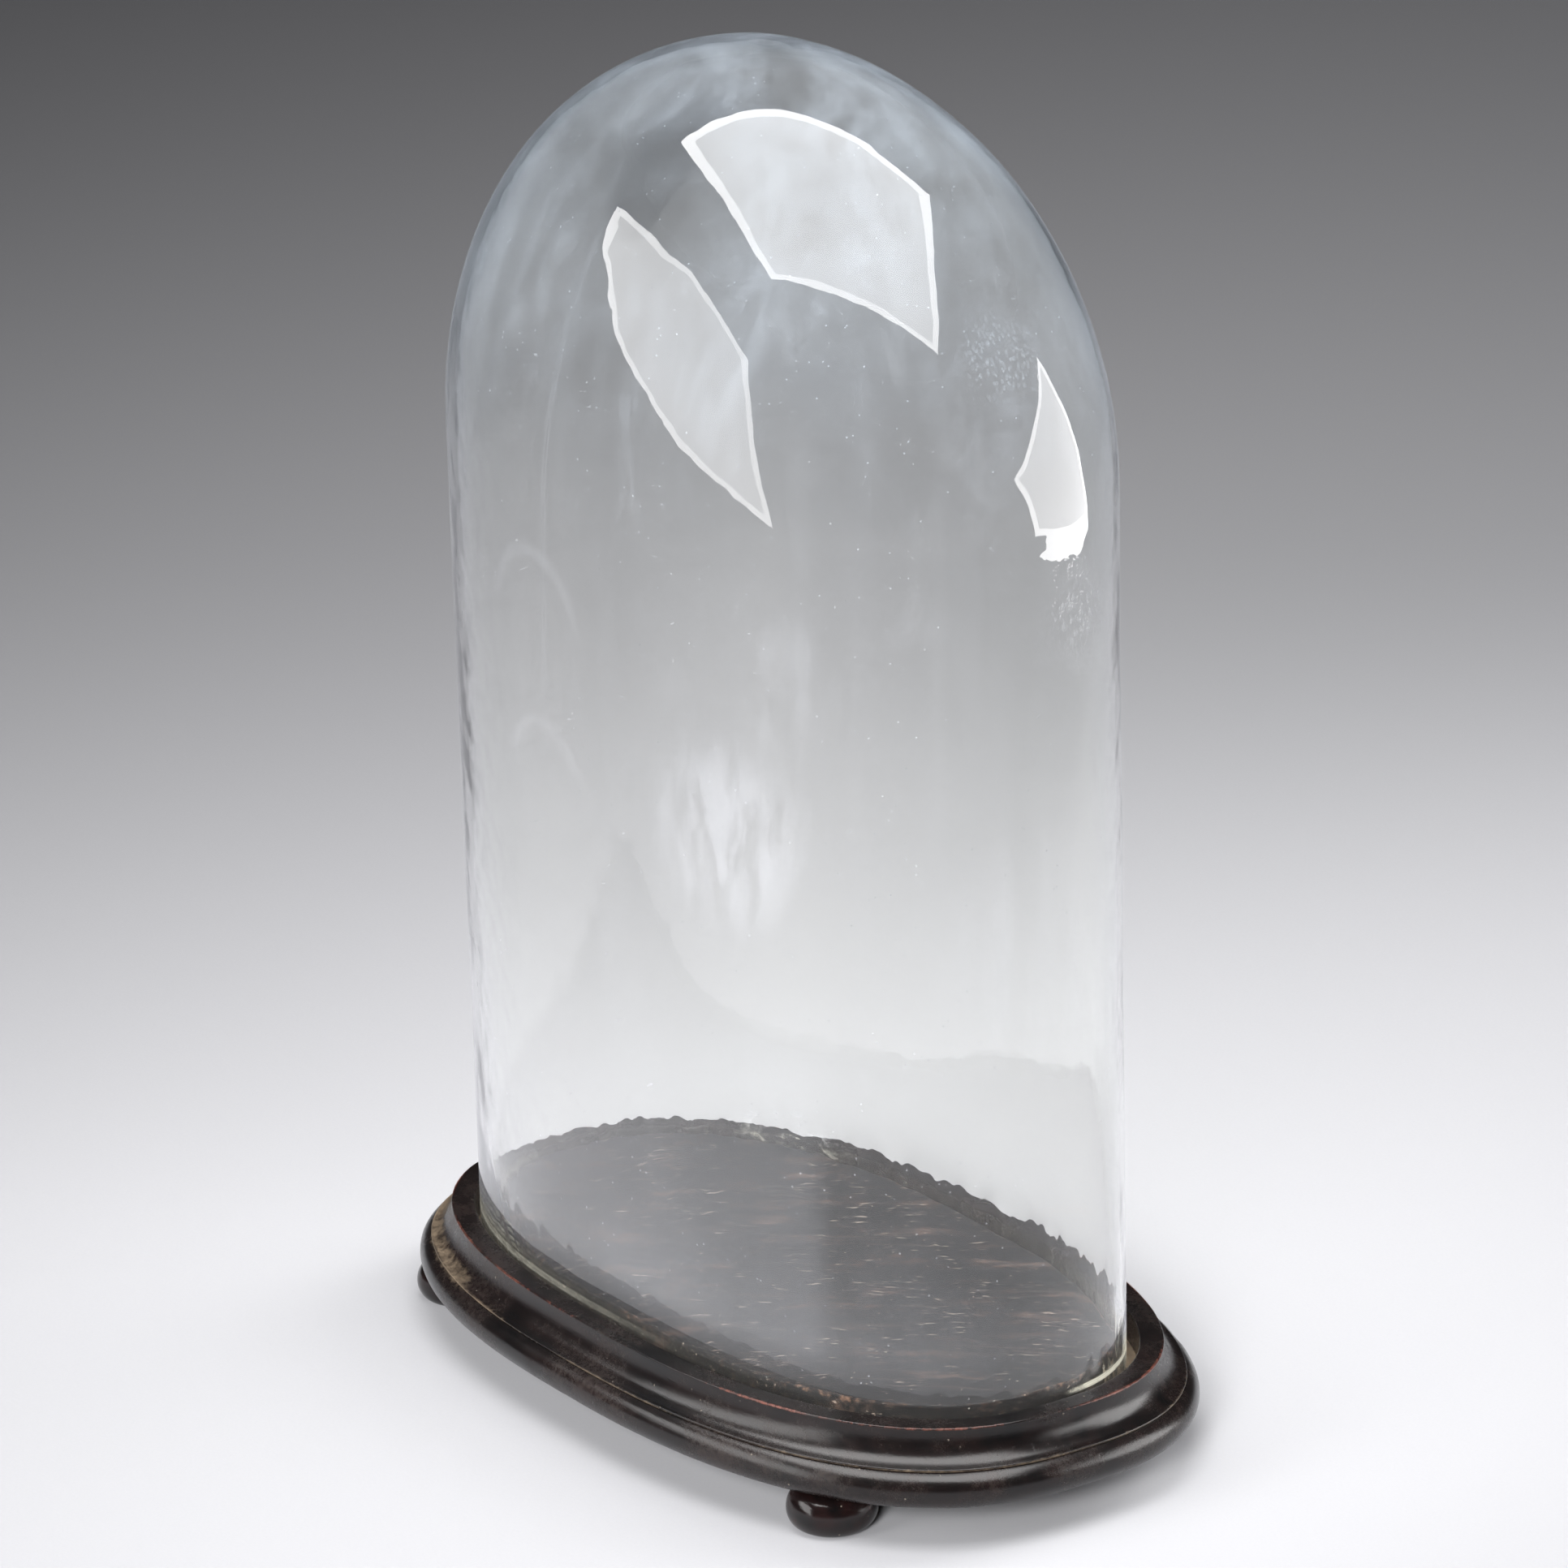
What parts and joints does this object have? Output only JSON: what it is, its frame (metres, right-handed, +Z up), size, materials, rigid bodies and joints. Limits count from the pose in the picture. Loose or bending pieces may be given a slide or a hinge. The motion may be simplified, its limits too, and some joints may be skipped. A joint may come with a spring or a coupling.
{
  "type": "bell jar dome",
  "caption": "Tall oval blown-glass dome that lifts off a groove in an ebonised, moulded oval wooden stand with bun feet, made to cover a small exhibit.",
  "frame": {"origin": "on the table, under the middle of the oval base board", "axes": "+Z up, the way the dome lifts; X along the oval's long axis; Y along its short axis"},
  "size_m": [0.3218, 0.189, 0.4495],
  "materials": {
    "glass": "clear blown glass with a faint green tint, light bloom and scratches",
    "ebonised_wood": "black stained and French polished, worn red-brown on the sharp edges, dusty in the quirks",
    "platform_wood": "black stained satin wood with rubbed grain and scratches",
    "foot_wood": "black polished turned wood, red-brown where worn",
    "screw_steel": "dull darkened steel"
  },
  "bodies": {
    "base": {"base_board": "ebonised_wood", "rim_moulding": "ebonised_wood", "display_platform": "platform_wood", "bun_foot_front_right": "foot_wood", "bun_foot_back_right": "foot_wood", "bun_foot_front_left": "foot_wood", "bun_foot_back_left": "foot_wood", "foot_screw_front_right": "screw_steel", "foot_screw_back_right": "screw_steel", "foot_screw_front_left": "screw_steel", "foot_screw_back_left": "screw_steel", "moulding_screw_1": "screw_steel", "moulding_screw_2": "screw_steel", "moulding_screw_3": "screw_steel", "moulding_screw_4": "screw_steel", "moulding_screw_5": "screw_steel", "moulding_screw_6": "screw_steel", "moulding_screw_7": "screw_steel", "moulding_screw_8": "screw_steel", "platform_screw_1": "screw_steel", "platform_screw_2": "screw_steel", "platform_screw_3": "screw_steel", "platform_screw_4": "screw_steel"},
    "dome": {"glass_dome": "glass"}
  },
  "joints": [
    {"name": "dome_lift", "type": "slide", "parent": "base", "child": "dome", "axis": [0, 0, 1], "range_m": [0, 0.44]}
  ]
}
